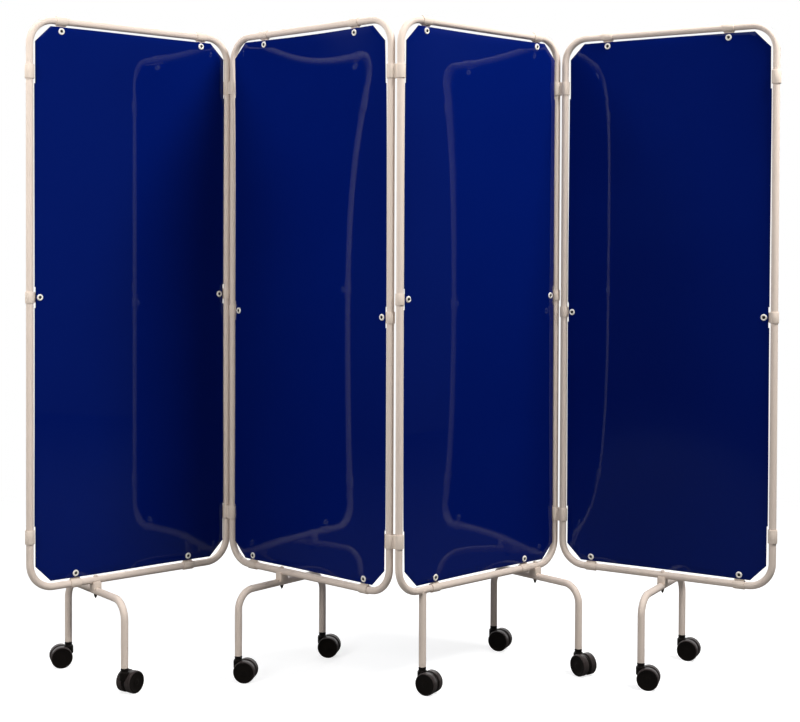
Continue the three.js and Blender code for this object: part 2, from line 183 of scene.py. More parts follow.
def add_glow(tree, strength):
    """Adds white light of its own, and gives the shader's socket."""
    return add_node(tree, "ShaderNodeEmission", {
        "Color": white, "Strength": strength,
    }).outputs["Emission"]


floor_finish, ground, ground_place = start_material("pale_floor")
ray, seen_straight = light_paths(ground)
from_middle = add_node(
    ground, "ShaderNodeVectorMath", {0: ground_place}, operation="LENGTH",
).outputs["Value"]
melt = remap(
    ground, from_middle, (melt_start, melt_end), (0.0, 1.0), interpolation_type="SMOOTHSTEP",
)
tone_unseen = remap(ground, ray["Is Glossy Ray"], (0.0, 1.0), (tone_in_bounces, tone_in_gloss))
floor_tone = blend(ground, seen_straight, tone_unseen, tone_seen)
lit_floor = add_node(ground, "ShaderNodeBsdfDiffuse", {"Color": floor_tone}).outputs["BSDF"]
lifted = add_glow(ground, reckon(ground, "MULTIPLY", seen_straight, floor_lift))
near_floor = add_node(ground, "ShaderNodeAddShader", {0: lit_floor, 1: lifted}).outputs["Shader"]
floor_shader = add_node(ground, "ShaderNodeMixShader", {
    "Fac": reckon(ground, "MULTIPLY", melt, seen_straight), 1: near_floor, 2: add_glow(ground, 1.0),
}).outputs["Shader"]
add_node(ground, "ShaderNodeOutputMaterial", {"Surface": floor_shader})

floor_shape = bmesh.new()
bmesh.ops.create_circle(floor_shape, cap_ends=True, radius=floor_radius, segments=96)
floor_mesh = bpy.data.meshes.new("floor")
floor_shape.to_mesh(floor_mesh)
floor_shape.free()
floor_mesh.materials.append(floor_finish)
floor = bpy.data.objects.new("floor", floor_mesh)
bpy.context.scene.collection.objects.link(floor)

# ---------------------------------------------------------------------------
# Panel frames. Each is one loop of 18 mm steel tube, bent to a generous round at its four
# corners, its ends butted and welded, and coated all over in cream stove enamel.
# ---------------------------------------------------------------------------
tube_radius = 0.009
stile_spacing = 0.563
frame_height = 1.4085
frame_lift = 0.2436
corner_radius = 0.062
tube_sides = 32
corner_steps = 14
merge_gap = 2e-6
frame_top = frame_lift + frame_height
bottom_rail = frame_lift + tube_radius
top_rail = frame_top - tube_radius
straight_width = stile_spacing - 2 * corner_radius
straight_height = top_rail - bottom_rail - 2 * corner_radius


def put(place, angle=0.0, axis="Z"):
    """The transform that turns a piece about one axis and then moves it to a place."""
    return Matrix.Translation(place) @ Matrix.Rotation(angle, 4, axis)


def middle_of(node):
    """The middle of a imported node."""
    return sum(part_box(node), Vector()) / 2


joint_place = {joint["name"]: Vector(joint["pos_m"]) for joint in frame["joints"]}
panel_stiles = {
    1: (middle_of("end_collar_left_top"), joint_place["panel_1_right_hinge"]),
    2: (joint_place["panel_2_left_hinge"], joint_place["panel_2_right_hinge"]),
    3: (joint_place["panel_3_left_hinge"], joint_place["panel_3_right_hinge"]),
    4: (joint_place["panel_4_left_hinge"], middle_of("end_collar_right_top")),
}
panel_place = {}
for number, (left_stile, right_stile) in panel_stiles.items():
    across = right_stile - left_stile
    panel_place[number] = put((left_stile.x, left_stile.y, 0), math.atan2(across.y, across.x))


def add_noise(tree, place, scale, detail, roughness=0.5, distortion=0.0):
    """Adds an uneven pattern, and gives the socket of its value."""
    return add_node(tree, "ShaderNodeTexNoise", {
        "Vector": place, "Scale": scale, "Detail": detail,
        "Roughness": roughness, "Distortion": distortion,
    }).outputs["Fac"]


def lay_coat(tree, tint, dullness, relief, relief_strength, relief_depth, shine):
    """Ends a coat: a shader with a tint and a dullness over a fine relief, and fixed shine."""
    skin = add_node(tree, "ShaderNodeBump", {
        "Strength": relief_strength, "Distance": relief_depth, "Height": relief,
    }).outputs["Normal"]
    shader = add_node(tree, "ShaderNodeBsdfPrincipled", {
        "Base Color": tint, "Roughness": dullness, "Normal": skin, **shine,
    }).outputs["BSDF"]
    add_node(tree, "ShaderNodeOutputMaterial", {"Surface": shader})


# Enamel: slightly uneven in colour, with a fine orange peel and a few dull scuffs
cream_enamel, coat, place = start_material("cream_enamel")
cloud = add_noise(coat, place, 14.0, 4.0, roughness=0.6)
peel = add_noise(coat, place, 900.0, 2.0)
rub = add_noise(coat, place, 46.0, 5.0, roughness=0.7, distortion=1.4)
scuff = remap(coat, rub, (0.70, 0.80), (0.0, 0.25))
tint = blend(coat, cloud, (0.785, 0.665, 0.575, 1), (0.755, 0.635, 0.545, 1), "RGBA")
worn_tint = blend(coat, scuff, tint, (0.46, 0.40, 0.35, 1), "RGBA")
dullness = remap(coat, rub, (0.3, 0.75), (0.27, 0.42))
lay_coat(coat, worn_tint, dullness, peel, 0.08, 0.0003, {"IOR": 1.5})


def points_in(parts):
    """The points among the parts that an operator gives back."""
    return [part for part in parts if isinstance(part, bmesh.types.BMVert)]


def edges_in(parts):
    """The edges among the parts that an operator gives back."""
    return [part for part in parts if isinstance(part, bmesh.types.BMEdge)]


def points_on(edges):
    """Each point of some edges, once."""
    return list({point for edge in edges for point in edge.verts})


def edges_at(points):
    """Each edge that meets some points, once."""
    return list({edge for point in points for edge in point.link_edges})


def start_tube(shape, place):
    """Starts a tube as a bare ring about Z, put in place, and gives the ring's edges."""
    return edges_at(bmesh.ops.create_circle(
        shape, radius=tube_radius, segments=tube_sides, matrix=place,
    )["verts"])


def draw_edges(shape, edges, way):
    """Draws edges out straight into a wall, such as a tube's, and gives the wall's new end."""
    grown = bmesh.ops.extrude_edge_only(shape, edges=edges)["geom"]
    points = set(points_in(grown))
    bmesh.ops.translate(shape, vec=way, verts=list(points))
    return [edge for edge in edges_in(grown) if points.issuperset(edge.verts)]


def bend_tube(shape, ring, centre, angle):
    """Swings the open end of a tube round a bend in the XZ plane, and gives its new end."""
    return edges_in(bmesh.ops.spin(
        shape, geom=points_on(ring) + ring, cent=centre, axis=(0, 1, 0), dvec=(0, 0, 0),
        angle=angle, steps=corner_steps, use_merge=False, use_normal_flip=False,
        use_duplicate=False,
    )["geom_last"])


def close_up(shape):
    """Closes a shape's seams and poles, and turns its faces outwards."""
    bmesh.ops.remove_doubles(shape, verts=shape.verts, dist=merge_gap)
    bmesh.ops.recalc_face_normals(shape, faces=shape.faces)


def finish_piece(shape, name, place, body, slot, *finishes, sharp=35):
    """Closes up a shape, puts it in place, and makes it an object that rides on a body."""
    close_up(shape)
    bmesh.ops.transform(shape, matrix=place, verts=shape.verts)
    mesh = bpy.data.meshes.new(name)
    shape.to_mesh(mesh)
    shape.free()
    for finish in finishes:
        mesh.materials.append(finish)
    mesh.shade_smooth()
    mesh.set_sharp_from_angle(angle=math.radians(sharp))
    piece = bpy.data.objects.new(name, mesh)
    bpy.context.scene.collection.objects.link(piece)
    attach(piece, body)
    return piece


for number, place_of_panel in panel_place.items():
    loop = bmesh.new()
    ring = start_tube(loop, put((corner_radius, 0, bottom_rail), math.pi / 2, "Y"))
    corner = Vector((corner_radius, 0, bottom_rail + corner_radius))
    for way in (
        Vector((straight_width, 0, 0)), Vector((0, 0, straight_height)),
        Vector((-straight_width, 0, 0)), Vector((0, 0, -straight_height)),
    ):
        ring = draw_edges(loop, ring, way)
        corner = corner + way
        ring = bend_tube(loop, ring, corner, -math.pi / 2)
    tube = finish_piece(
        loop, f"tube_frame_{number}", place_of_panel, f"panel_{number}", "cream_paint",
        cream_enamel,
    )
    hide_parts(f"panel_{number}_frame")

# ---------------------------------------------------------------------------
# Clips. Six on each frame: a moulded cream sleeve that snaps round the tube, with a tapered ear
# behind the sheet, a rib down the ear, and a boss that takes the screw.
# ---------------------------------------------------------------------------
clip_bore = tube_radius + 0.0001
clip_radius = 0.011
clip_length = 0.028
clip_rim = 0.0006
screw_reach = 0.0251
ear_reach = 0.033
ear_front = -0.0002
ear_thickness = 0.003
ear_back = ear_front + ear_thickness
ear_rim = 0.0005
ear_root_half = clip_length / 2 - 0.001
rib_size = (0.0024, 0.003, screw_reach - clip_radius - 0.002)
rib_place = (0, ear_back + 0.0008, clip_radius + rib_size[2] / 2 - 0.001)
near_inset = 0.0825
far_inset = 0.1202
# Insets of the clips on the top and the bottom rail, and height of the clips on the stiles
clip_rows = {
    1: (near_inset, far_inset, 0.7223),
    2: (far_inset, near_inset, 0.6785),
    3: (near_inset, far_inset, 0.7223),
    4: (far_inset, near_inset, 0.6785),
}
# Half widths and heights of the ear, from its root inside the sleeve to its tip
ear_outline = [
    (ear_root_half, tube_radius + 0.0005), (ear_root_half, clip_radius + 0.0012),
    (0.007, screw_reach + 0.001), (0.0034, ear_reach),
]
boss_profile = [
    (0, 0.0052), (0.0016, 0.0052), (0.0018, 0.0034), (0.0042, 0.0034), (0.005, 0.0028),
    (0.0052, -0.001), (0, -0.001),
]

# Moulded plastic: a fine even grain and slow changes of tone, less glossy than the enamel
cream_moulding, coat, place = start_material("cream_moulding")
cloud = add_noise(coat, place, 60.0, 3.0)
grain = add_noise(coat, place, 1700.0, 2.0)
tint = blend(coat, cloud, (0.81, 0.69, 0.59, 1), (0.75, 0.63, 0.53, 1), "RGBA")
dullness = remap(coat, cloud, (0.3, 0.7), (0.38, 0.52))
lay_coat(coat, tint, dullness, grain, 0.2, 0.0002, {"IOR": 1.46})


def spin_round(shape, parts, steps):
    """Turns points and edges once round Z into a closed form."""
    bmesh.ops.spin(
        shape, geom=parts, cent=(0, 0, 0), axis=(0, 0, 1), dvec=(0, 0, 0), angle=2 * math.pi,
        steps=steps, use_merge=True, use_normal_flip=False, use_duplicate=False,
    )


def turn_profile(shape, profile, steps, place=Matrix()):
    """Turns (radius, height) points once round Z, and puts the turned form in place."""
    before = set(shape.verts)
    points = [shape.verts.new((radius, 0, height)) for radius, height in profile]
    edges = [shape.edges.new(pair) for pair in zip(points, points[1:])]
    spin_round(shape, points + edges, steps)
    fresh = [point for point in shape.verts if point not in before]
    bmesh.ops.transform(shape, matrix=place, verts=fresh)


def turned(profile, steps, place=Matrix()):
    """A new shape that is all turned from one profile."""
    shape = bmesh.new()
    turn_profile(shape, profile, steps, place)
    return shape


def rounded_sleeve(inner, outer, length, rounding):
    """Profile of a sleeve wall, from inner to outer radius, with all its rims rounded."""
    half = length / 2
    short = rounding * 0.3
    return [
        (inner, rounding - half), (inner + short, short - half), (inner + rounding, -half),
        (outer - rounding, -half), (outer - short, short - half), (outer, rounding - half),
        (outer, half - rounding), (outer - short, half - short), (outer - rounding, half),
        (inner + rounding, half), (inner + short, half - short), (inner, half - rounding),
        (inner, rounding - half),
    ]


def draw_out(shape, parts, way):
    """Draws faces out straight, with walls round them."""
    grown = bmesh.ops.extrude_face_region(shape, geom=parts)["geom"]
    bmesh.ops.translate(shape, vec=way, verts=points_in(grown))


def sharp_edges(edges, angle):
    """The edges whose two faces turn by more than an angle in degrees."""
    return [
        edge for edge in edges
        if edge.is_manifold and edge.calc_face_angle(0) > math.radians(angle)
    ]


def ease(shape, edges, width, segments=2):
    """Rounds edges over, or cuts them off straight where there is one segment."""
    bmesh.ops.bevel(
        shape, geom=edges, offset=width, offset_type="OFFSET", segments=segments, profile=0.5,
        affect="EDGES", clamp_overlap=True, material=-1,
    )


def shape_clip():
    """A clip about the X axis, with its ear up."""
    sleeve = rounded_sleeve(clip_bore, clip_radius, clip_length, clip_rim)
    clip = turned(sleeve, 40, Matrix.Rotation(math.pi / 2, 4, "Y"))
    # Ear: a plate that narrows beyond the screw
    before = set(clip.verts)
    rows = len(ear_outline) - 1
    plate = bmesh.ops.create_grid(
        clip, x_segments=1, y_segments=rows, size=1, matrix=Matrix(),
    )["verts"]
    for point in plate:
        half, height = ear_outline[round((point.co.y + 1) / 2 * rows)]
        point.co = Vector((math.copysign(half, point.co.x), ear_front, height))
    plate_faces = list({face for point in plate for face in point.link_faces})
    draw_out(clip, plate_faces, (0, ear_thickness, 0))
    ear_edges = edges_at([point for point in clip.verts if point not in before])
    ear_faces = list({face for edge in ear_edges for face in edge.link_faces})
    bmesh.ops.recalc_face_normals(clip, faces=ear_faces)
    ease(clip, sharp_edges(ear_edges, 60), ear_rim)
    # Rib down the back of the ear, and the round boss about the screw
    rib = bmesh.ops.create_cube(clip, size=1)["verts"]
    bmesh.ops.scale(clip, vec=rib_size, verts=rib)
    bmesh.ops.translate(clip, vec=rib_place, verts=rib)
    ease(clip, edges_at(rib), ear_rim)
    turn_profile(clip, boss_profile, 24, put((0, ear_back, screw_reach), -math.pi / 2, "X"))
    return clip


def clip_stations(number):
    """Names and places of the six clips on a frame, each place with the ear pointing inwards."""
    top_inset, bottom_inset, side_height = clip_rows[number]
    stations = {
        "bottom_left": (bottom_inset, bottom_rail, 0),
        "bottom_right": (stile_spacing - bottom_inset, bottom_rail, 0),
        "top_left": (top_inset, top_rail, math.pi),
        "top_right": (stile_spacing - top_inset, top_rail, math.pi),
        "left": (0, frame_lift + side_height, math.pi / 2),
        "right": (stile_spacing, frame_lift + side_height, -math.pi / 2),
    }
    return {name: put((x, 0, z), swing, "Y") for name, (x, z, swing) in stations.items()}


for number, place_of_panel in panel_place.items():
    for station, place_of_clip in clip_stations(number).items():
        finish_piece(
            shape_clip(), f"clip_{number}_{station}", place_of_panel @ place_of_clip,
            f"panel_{number}", "cream_plastic", cream_moulding,
        )

# ---------------------------------------------------------------------------
# Sheets. One stiff glossy plastic sheet in each frame, deep blue, its corners cut off straight
# and its long edges set in a little at the hinges and at the clips on the stiles. Only the six
# clips hold it, so it bows a little.
# ---------------------------------------------------------------------------
sheet_thickness = 0.0025
sheet_front = -0.00175 - sheet_thickness / 2
sheet_rail_gap = 0.0055
sheet_stile_gap = 0.0029
sheet_corner_cut = 0.040
sheet_set_in = 0.0025
sheet_rim = 0.0004
side_recess_half = 0.0255
cut_pitch = 0.02
# How far each sheet bows forward at mid height, how much more or less towards its top and towards
# its bottom, and how far one side swings forward while the other swings back
sheet_warps = {
    1: (0.0, 0.0, 0.0, 0.0029),
    2: (-0.0009, -0.0070, -0.0018, 0.0),
    3: (-0.0004, -0.0042, -0.0042, 0.0),
    4: (0.0170, -0.0138, -0.0202, 0.0),
}
sheet_left = tube_radius + sheet_stile_gap
sheet_low = frame_lift + 2 * tube_radius + sheet_rail_gap
sheet_high = frame_top - 2 * tube_radius - sheet_rail_gap
set_in_low = frame_lift + 0.162
set_in_high = frame_top - 0.166

# Blue sheet: glossy with slow changes of depth, handling marks in the gloss, blue-tinted shine
blue_gloss, coat, place = start_material("blue_gloss")
depth = add_noise(coat, place, 2.2, 3.0)
smear = add_noise(coat, place, 17.0, 6.0, roughness=0.65, distortion=0.8)
stretched = add_node(coat, "ShaderNodeMapping", {
    "Vector": place, "Scale": (1.0, 1.0, 0.06),
}).outputs["Vector"]
hairline = add_noise(coat, stretched, 700.0, 2.0)
tint = blend(coat, depth, (0.0004, 0.0056, 0.092, 1), (0.0007, 0.0088, 0.122, 1), "RGBA")
dullness = remap(coat, smear, (0.35, 0.75), (0.015, 0.035))
lay_coat(coat, tint, dullness, hairline, 0.008, 0.0001, {
    "IOR": 1.45, "Specular IOR Level": 0.5, "Specular Tint": (0.68, 0.82, 1.0, 1),
})


def all_of(shape):
    """Every point, edge and face of a shape."""
    return shape.verts[:] + shape.edges[:] + shape.faces[:]


def edges_on(shape, axis, level):
    """The edges of a shape that lie at one level of an axis."""
    return [
        edge for edge in shape.edges
        if all(abs(point.co[axis] - level) < 1e-5 for point in edge.verts)
    ]


def edges_square_to(axis, edges):
    """Those of some edges that lie square to an axis."""
    return [
        edge for edge in edges if abs(edge.verts[0].co[axis] - edge.verts[1].co[axis]) < 1e-6
    ]


def slice_at(shape, point, way, **clear):
    """Cuts a shape along a plane, and clears one side of it away where that is asked."""
    bmesh.ops.bisect_plane(
        shape, geom=all_of(shape), dist=1e-6, plane_co=point, plane_no=way, **clear,
    )


def stand_off(number, x, z):
    """How far forward a sheet stands at a place. It stays where it is at its six clips."""
    bow, upper_bow, lower_bow, swing = sheet_warps[number]
    top_inset, bottom_inset, side_height = clip_rows[number]
    half_width = stile_spacing / 2 - sheet_left
    half_height = (sheet_high - sheet_low) / 2
    across = (x - stile_spacing / 2) / half_width
    up = (z - (sheet_high + sheet_low) / 2) / half_height
    side_clip = (frame_lift + side_height - (sheet_high + sheet_low) / 2) / half_height
    above = up > side_clip
    past_side_clip = (up - side_clip) / ((1 if above else -1) - side_clip)
    end_clips = (stile_spacing / 2 - (top_inset if above else bottom_inset)) / half_width
    held_at = 1 - (1 - end_clips) * past_side_clip ** 2
    belly = bow + (upper_bow if up > 0 else lower_bow) * up ** 2
    return (
        belly * math.cos(math.pi * across / held_at / 2)
        - swing * held_at * math.sin(math.pi * across / held_at)
    )


def shape_sheet(number):
    """The sheet of one panel: a rectangle that is cut, set in, thickened, eased and bowed."""
    side_clip = frame_lift + clip_rows[number][2]
    clip_low, clip_high = side_clip - side_recess_half, side_clip + side_recess_half
    narrow = sheet_left + sheet_set_in
    flat_size = (stile_spacing - 2 * narrow, 1, sheet_high - sheet_low)
    flat_place = (stile_spacing / 2, sheet_front, (sheet_low + sheet_high) / 2)
    sheet = bmesh.new()
    upright = Matrix.Rotation(math.pi / 2, 4, "X")
    bmesh.ops.create_grid(sheet, x_segments=1, y_segments=1, size=0.5, matrix=upright)
    bmesh.ops.scale(sheet, vec=flat_size, verts=sheet.verts)
    bmesh.ops.translate(sheet, vec=flat_place, verts=sheet.verts)
    bmesh.ops.bevel(
        sheet, geom=sheet.verts[:], offset=sheet_corner_cut, offset_type="OFFSET", segments=1,
        profile=0.5, affect="VERTICES", clamp_overlap=True, material=-1,
    )
    for height in (set_in_low, clip_low, clip_high, set_in_high):
        slice_at(sheet, (0, 0, height), (0, 0, 1))
    # The long edges come out to full width between the hinges and the clips on the stiles
    for side, edge_x in ((-1, narrow), (1, stile_spacing - narrow)):
        full = []
        for edge in edges_on(sheet, 0, edge_x):
            height = sum(point.co.z for point in edge.verts) / 2
            if set_in_low < height < clip_low or clip_high < height < set_in_high:
                full.append(edge)
        draw_edges(sheet, full, (side * sheet_set_in, 0, 0))
    for step in range(1, int(stile_spacing / cut_pitch)):
        slice_at(sheet, (sheet_left + step * cut_pitch, 0, 0), (1, 0, 0))
    for step in range(1, int((sheet_high - sheet_low) / cut_pitch)):
        slice_at(sheet, (0, 0, sheet_low + step * cut_pitch), (0, 0, 1))
    draw_out(sheet, sheet.faces[:], (0, sheet_thickness, 0))
    bmesh.ops.recalc_face_normals(sheet, faces=sheet.faces)
    ease(sheet, edges_square_to(1, sharp_edges(sheet.edges, 80)), sheet_rim)
    for point in sheet.verts:
        point.co.y -= stand_off(number, point.co.x, point.co.z)
    return sheet


for number, place_of_panel in panel_place.items():
    sheet = finish_piece(
        shape_sheet(number), f"blue_sheet_{number}", place_of_panel, f"panel_{number}",
        "blue_sheet", blue_gloss, sharp=50,
    )
    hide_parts(f"panel_{number}_sheet")

# ---------------------------------------------------------------------------
# Cup washers and screws. At each clip a pale moulded cup washer stands on the sheet, and a small
# dark cross-headed screw sits down inside it and runs back into the clip.
# ---------------------------------------------------------------------------
washer_radius = 0.00825
washer_height = 0.0024
screw_head_radius = 0.0036
screw_top = 0.0015
recess_hub = 0.0005
recess_depth = 0.0009
washer_profile = [
    (washer_radius, 0), (washer_radius, 0.0004), (0.0079, 0.0009), (0.0072, 0.0016),
    (0.0064, 0.0021), (0.0056, washer_height), (0.0049, washer_height), (0.0042, 0.0021),
    (0.0038, 0.0015), (0.0037, 0.0002), (0.0037, 0), (washer_radius, 0),
]
screw_profile = [
    (0, -0.006), (0.0015, -0.006), (0.0015, 0), (screw_head_radius, 0.0006),
    (screw_head_radius, 0.0010), (0.0027, 0.0014), (0.0021, screw_top), (recess_hub, screw_top),
    (0, screw_top),
]

# Screw steel: blackened, with a soft uneven shine
dark_steel, coat, place = start_material("blackened_steel")
cloud = add_noise(coat, place, 320.0, 4.0)
tint = blend(coat, cloud, (0.045, 0.036, 0.03, 1), (0.10, 0.082, 0.07, 1), "RGBA")
dullness = remap(coat, cloud, (0.3, 0.7), (0.3, 0.5))
lay_coat(coat, tint, dullness, cloud, 0.15, 0.0001, {"Metallic": 0.7})

# Washer nylon: nearly white, smooth, with a faint grain
white_nylon, coat, place = start_material("white_nylon")
cloud = add_noise(coat, place, 240.0, 3.0)
tint = blend(coat, cloud, (0.93, 0.89, 0.83, 1), (0.88, 0.83, 0.76, 1), "RGBA")
dullness = remap(coat, cloud, (0.3, 0.7), (0.28, 0.4))
lay_coat(coat, tint, dullness, cloud, 0.1, 0.0001, {})


def shape_screw():
    """A cross-headed screw about Z: shank down to the clip, low domed head, and a cross recess."""
    screw = turned(screw_profile, 16)
    bmesh.ops.remove_doubles(screw, verts=screw.verts, dist=merge_gap)
    cross = []
    for face in screw.faces:
        middle = face.calc_center_median()
        on_arm = abs(math.sin(2 * math.atan2(middle.y, middle.x))) < 0.5
        if middle.z > screw_top - 1e-5 and (middle.xy.length < recess_hub or on_arm):
            cross.append(face)
    cross_edges = list({edge for face in cross for edge in face.edges})
    pole = [point for point in screw.verts if point.co.z > 0 and point.co.xy.length < 1e-6]
    draw_out(screw, cross + cross_edges + pole, (0, 0, -recess_depth))
    return screw


for number, place_of_panel in panel_place.items():
    for station, place_of_clip in clip_stations(number).items():
        hole = place_of_clip @ Vector((0, 0, screw_reach))
        face_y = sheet_front - stand_off(number, hole.x, hole.z)
        seat = place_of_panel @ place_of_clip @ put((0, face_y, screw_reach), math.pi / 2, "X")
        finish_piece(
            turned(washer_profile, 32), f"cup_washer_{number}_{station}", seat,
            f"panel_{number}", "cream_plastic", white_nylon,
        )
        finish_piece(
            shape_screw(), f"clip_screw_{number}_{station}", seat,
            f"panel_{number}", "dark_steel", dark_steel,
        )

# ---------------------------------------------------------------------------
# Hinge links and end collars. A link is a moulded figure-eight sleeve that two stiles turn in,
# one near the top and one near the bottom of each joint. A plain collar sits on each outer stile.
# ---------------------------------------------------------------------------
link_radius = 0.0115
link_pitch = 0.024
link_length = 0.034
link_waist = 0.013
link_rim = 0.0009
link_bore = tube_radius + 0.0003
link_from_end = 0.138
link_heights = {"top": frame_top - link_from_end, "bottom": frame_lift + link_from_end}
waist_place = math.sqrt(link_radius ** 2 - (link_waist / 2) ** 2) - link_pitch / 2


def carve(block, cutters):
    """Takes the room of each cutter out of a block, and gives the carved shape."""
    made = []
    for shape in [block] + cutters:
        close_up(shape)
        mesh = bpy.data.meshes.new("carving")
        shape.to_mesh(mesh)
        shape.free()
        made.append(bpy.data.objects.new("carving", mesh))
        bpy.context.scene.collection.objects.link(made[-1])
    for cutter in made[1:]:
        cut = made[0].modifiers.new("cut", "BOOLEAN")
        cut.operation = "DIFFERENCE"
        cut.solver = "EXACT"
        cut.object = cutter
    shown = made[0].evaluated_get(bpy.context.evaluated_depsgraph_get())
    carved = bmesh.new()
    carved.from_mesh(shown.to_mesh())
    shown.to_mesh_clear()
    for scrap in made:
        scrap_mesh = scrap.data
        bpy.data.objects.remove(scrap)
        bpy.data.meshes.remove(scrap_mesh)
    return carved


def flared_bore(x):
    """A cutter for one bore of a link, opening a little at both ends."""
    flare_start = link_length / 2 - 0.0006
    flare_end = link_length / 2 + 0.002
    flare_radius = link_bore + 0.0026
    return turned([
        (0, -flare_end), (flare_radius, -flare_end), (link_bore, -flare_start),
        (link_bore, flare_start), (flare_radius, flare_end), (0, flare_end),
    ], 48, put((x, 0, 0)))


# One lobe of the eight, cut off at the waist and drawn out to the middle, is mirrored there
link_block = bmesh.new()
bmesh.ops.create_circle(
    link_block, cap_ends=True, radius=link_radius, segments=56, matrix=put((-link_pitch / 2, 0, 0)),
)
slice_at(link_block, (waist_place, 0, 0), (1, 0, 0), clear_outer=True)
draw_edges(link_block, edges_on(link_block, 0, waist_place), (-waist_place, 0, 0))
bmesh.ops.mirror(
    link_block, geom=all_of(link_block), matrix=Matrix(), merge_dist=1e-6, axis="X",
)
bmesh.ops.recalc_face_normals(link_block, faces=link_block.faces)
bmesh.ops.dissolve_faces(link_block, faces=link_block.faces[:])
half_way = (link_pitch / 2, 0, -link_length / 2)
bmesh.ops.translate(link_block, vec=half_way, verts=link_block.verts)
draw_out(link_block, link_block.faces[:], (0, 0, link_length))
bmesh.ops.recalc_face_normals(link_block, faces=link_block.faces)
ease(link_block, edges_square_to(2, link_block.edges), link_rim, segments=3)
link_shape = carve(link_block, [flared_bore(0), flared_bore(link_pitch)])

for left in (1, 2, 3):
    joint = f"{left}{left + 1}"
    start = joint_place[f"panel_{left}_right_hinge"]
    end = joint_place[f"panel_{left + 1}_left_hinge"]
    heading = math.atan2(end.y - start.y, end.x - start.x)
    for level, height in link_heights.items():
        link = finish_piece(
            link_shape.copy(), f"moulded_link_{joint}_{level}",
            put((start.x, start.y, height), heading), f"link_{joint}", "cream_plastic",
            cream_moulding,
        )
        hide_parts(f"hinge_link_{joint}_{level}")
link_shape.free()

for side, number, stile in (("left", 1, panel_stiles[1][0]), ("right", 4, panel_stiles[4][1])):
    for level, height in link_heights.items():
        collar = finish_piece(
            turned(rounded_sleeve(link_bore, link_radius, link_length, link_rim), 56),
            f"moulded_collar_{side}_{level}", put((stile.x, stile.y, height)),
            f"panel_{number}", "cream_plastic", cream_moulding,
        )
        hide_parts(f"end_collar_{side}_{level}")

# ---------------------------------------------------------------------------
# Legs. Under each bottom rail a bent U of the same enamelled tube runs across the panel, and its
# two open ends take the caster stems. Panel 3 has one more, a straight leg welded to the rail.
# ---------------------------------------------------------------------------
leg_half_span = 0.1503
leg_bend_radius = 0.046
leg_foot = 0.0642
foot_depth = 0.02
tube_wall = 0.0014
weld_gap = 0.0001
crossbar = frame_lift - 0.0095 - tube_radius
leg_bend_x = leg_half_span - leg_bend_radius
leg_bend_height = crossbar - leg_bend_radius
leg_rise = crossbar - leg_bend_radius - leg_foot
straight_leg_place = 0.0794


def close_foot(shape, ring):
    """Turns the open end of a leg tube in over its wall and up inside, as a cut tube end."""
    points = points_on(ring)
    middle = sum((point.co for point in points), Vector()) / len(points)
    inner = 1 - tube_wall / tube_radius
    to_bore = put(middle) @ Matrix.Diagonal((inner, inner, 1, 1)) @ put(-middle)
    lip = draw_edges(shape, ring, (0, 0, 0))
    bmesh.ops.transform(shape, matrix=to_bore, verts=points_on(lip))
    bmesh.ops.edgeloop_fill(shape, edges=draw_edges(shape, lip, (0, 0, foot_depth)))


leg_place = {}
for number, place_of_panel in panel_place.items():
    leg_place[number] = (place_of_panel.inverted() @ middle_of(f"panel_{number}_leg_bolt")).x
    leg = bmesh.new()
    ring = start_tube(leg, put((-leg_half_span, 0, leg_foot)))
    close_foot(leg, ring)
    ring = draw_edges(leg, ring, (0, 0, leg_rise))
    ring = bend_tube(leg, ring, (-leg_bend_x, 0, leg_bend_height), math.pi / 2)
    ring = draw_edges(leg, ring, (2 * leg_bend_x, 0, 0))
    ring = bend_tube(leg, ring, (leg_bend_x, 0, leg_bend_height), math.pi / 2)
    ring = draw_edges(leg, ring, (0, 0, -leg_rise))
    close_foot(leg, ring)
    leg_piece = finish_piece(
        leg, f"bent_leg_{number}", place_of_panel @ put((leg_place[number], 0, 0), math.pi / 2),
        f"panel_{number}", "cream_paint", cream_enamel,
    )
    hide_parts(f"panel_{number}_leg")


def rail_underside(y):
    """Height of the underside of the bottom rail at a distance from its middle."""
    return bottom_rail - math.sqrt(max(0, (tube_radius + weld_gap) ** 2 - y * y))


straight_leg = bmesh.new()
ring = start_tube(straight_leg, put((0, 0, leg_foot)))
close_foot(straight_leg, ring)
ring = draw_edges(straight_leg, ring, (0, 0, bottom_rail - leg_foot))
for point in points_on(ring):
    point.co.z = rail_underside(point.co.y)
bmesh.ops.edgeloop_fill(straight_leg, edges=ring)

# Weld bead: a small ring laid in the corner between leg and rail, rippled by the welder's steps
bead_radius = 0.0013
bead_path = tube_radius + 0.0006
bead_sunk = 0.0003
ripple_height = 0.00018
ripples = 24
before = set(straight_leg.verts)
bead = bmesh.ops.create_circle(
    straight_leg, radius=bead_radius, segments=10, matrix=put((bead_path, 0, 0), math.pi / 2, "X"),
)["verts"]
spin_round(straight_leg, bead + edges_at(bead), 72)
for point in [point for point in straight_leg.verts if point not in before]:
    way = math.atan2(point.co.y, point.co.x)
    ripple = ripple_height * math.sin(ripples * way)
    point.co.z += rail_underside(tube_radius * math.sin(way)) - bead_sunk + ripple
straight_piece = finish_piece(
    straight_leg, "straight_leg_3", panel_place[3] @ put((straight_leg_place, 0, 0)),
    "panel_3", "cream_paint", cream_enamel,
)
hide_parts("panel_3_straight_leg")

